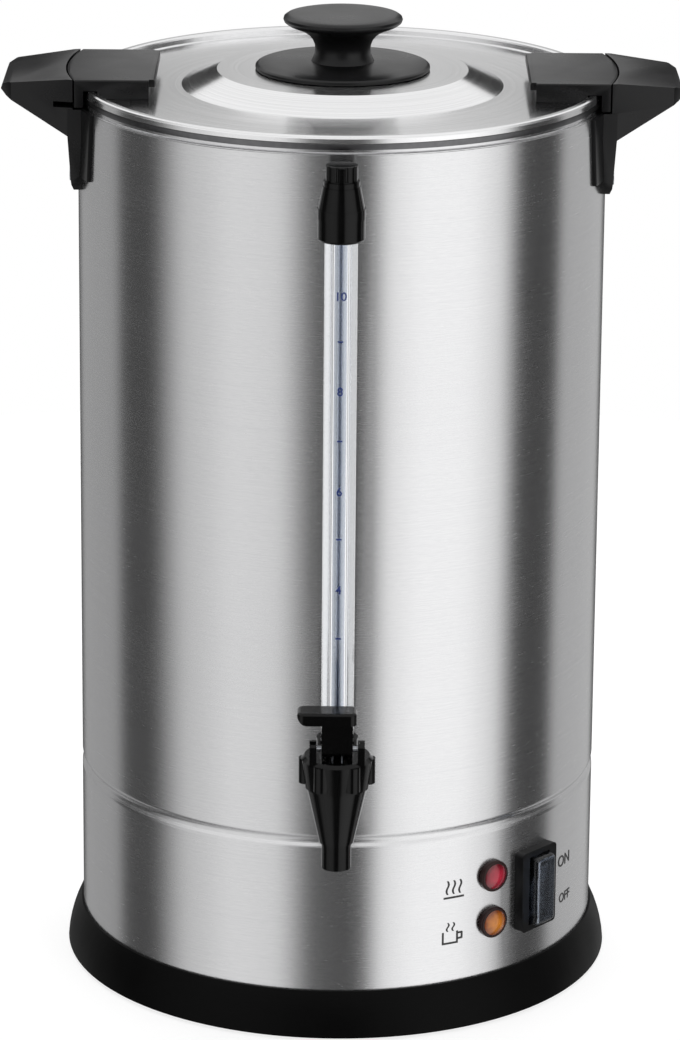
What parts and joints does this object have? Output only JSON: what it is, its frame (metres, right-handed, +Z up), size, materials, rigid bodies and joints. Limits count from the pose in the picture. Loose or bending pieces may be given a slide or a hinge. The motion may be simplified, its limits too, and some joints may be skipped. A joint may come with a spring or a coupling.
{
  "type": "hot water urn",
  "caption": "Brushed steel hot water urn with a bayonet lid, side grips, lever tap, sight gauge, rocker switch and two lamps on a flared black base.",
  "frame": {"origin": "on the urn's vertical axis, at the surface that its feet stand on", "axes": "+Z up along the body's axis, the tap and gauge face -Y, the handles lie along X"},
  "size_m": [0.307, 0.301, 0.4465],
  "materials": {
    "brushed_shell": "brushed stainless steel, grain round the body",
    "lid_steel": "spun stainless steel, fine circular grain",
    "inner_steel": "plain stainless sheet",
    "black_plastic": "satin black heat-proof moulding",
    "tap_black": "glossy black moulding",
    "base_black": "satin black ring",
    "clear_tube": "clear heat-proof tube",
    "smoky_boot": "soft clear splash cover",
    "red_lens": "translucent red",
    "amber_lens": "translucent amber",
    "lamp_dark": "dark lamp bezel",
    "silicone": "translucent silicone",
    "foot_rubber": "black rubber",
    "zinc": "zinc plated",
    "plate_aluminium": "cast aluminium",
    "brass_pins": "bright brass",
    "red_button": "red button",
    "phenolic": "dark phenolic",
    "lead_sleeve": "heat-proof sleeved leads"
  },
  "bodies": {
    "urn": {"tank_shell": "brushed_shell", "tank_floor": "inner_steel", "base_skirt": "brushed_shell", "base_ring": "base_black", "bottom_plate": "inner_steel", "rubber_feet": "foot_rubber", "bottom_screws": "zinc", "heat_plate": "plate_aluminium", "heating_element": "inner_steel", "boil_thermostat": "zinc", "keep_warm_thermostat": "zinc", "cutout_bracket": "zinc", "dry_boil_cutout": "phenolic", "terminal_block": "phenolic", "inner_leads": "lead_sleeve", "power_inlet": "black_plastic", "inlet_pins": "brass_pins", "inlet_screws": "zinc", "heating_lamp_bezel": "lamp_dark", "heating_lamp_lens": "red_lens", "heating_lamp_barrel": "black_plastic", "keep_warm_lamp_bezel": "lamp_dark", "keep_warm_lamp_lens": "amber_lens", "keep_warm_lamp_barrel": "black_plastic", "switch_bezel": "black_plastic", "switch_boot": "smoky_boot", "switch_body": "black_plastic", "tap_body": "tap_black", "tap_gasket_outer": "silicone", "tap_gasket_inner": "silicone", "tap_nut": "zinc", "tap_bonnet": "tap_black", "lever_pin": "zinc", "gauge_seal_lower": "silicone", "gauge_seal_upper": "silicone", "gauge_tube": "clear_tube", "gauge_cap": "tap_black", "gauge_plug": "tap_black", "gauge_screw": "zinc", "handle_left": "black_plastic", "handle_right": "black_plastic", "handle_screws": "zinc", "handle_nuts": "zinc"},
    "lid_turner": {"lid_seal": "silicone"},
    "lid": {"lid": "lid_steel", "knob_base": "black_plastic", "lid_knob": "black_plastic", "knob_screw": "zinc", "lid_block_left": "black_plastic", "lid_block_right": "black_plastic", "lid_block_screws": "zinc"},
    "lever": {"tap_lever": "tap_black"},
    "stem": {"tap_stem": "tap_black", "tap_seat_cup": "silicone", "tap_spring": "zinc"},
    "rocker": {"switch_rocker": "tap_black"},
    "reset": {"reset_button": "red_button"}
  },
  "joints": [
    {"name": "lid_turn", "type": "hinge", "parent": "urn", "child": "lid_turner", "pos_m": [0, 0, 0.4132], "axis": [0, 0, 1], "range_deg": [0, 30]},
    {"name": "lid_lift", "type": "slide", "parent": "lid_turner", "child": "lid", "axis": [0, 0, 1], "range_m": [0, 0.16]},
    {"name": "lever_press", "type": "hinge", "parent": "urn", "child": "lever", "pos_m": [0, -0.166, 0.155], "axis": [1, 0, 0], "range_deg": [0, 25], "stiffness_Nm_per_rad": 0.12, "springref_deg": -11.46},
    {"name": "stem_lift", "type": "slide", "parent": "urn", "child": "stem", "axis": [0, 0, 1], "range_m": [0, 0.0036], "deforming": ["tap_spring"]},
    {"name": "switch_rock", "type": "hinge", "parent": "urn", "child": "rocker", "pos_m": [0.09039, -0.07969, 0.057], "axis": [0.6613, 0.7501, 0], "range_deg": [-18, 0]},
    {"name": "reset_press", "type": "slide", "parent": "urn", "child": "reset", "axis": [0, 0, 1], "range_m": [0, 0.002], "stiffness_N_per_m": 600, "springref_m": -0.001}
  ],
  "couplings": [
    {"joint": "stem_lift", "follows": "lever_press", "m_per_rad": 0.008}
  ]
}
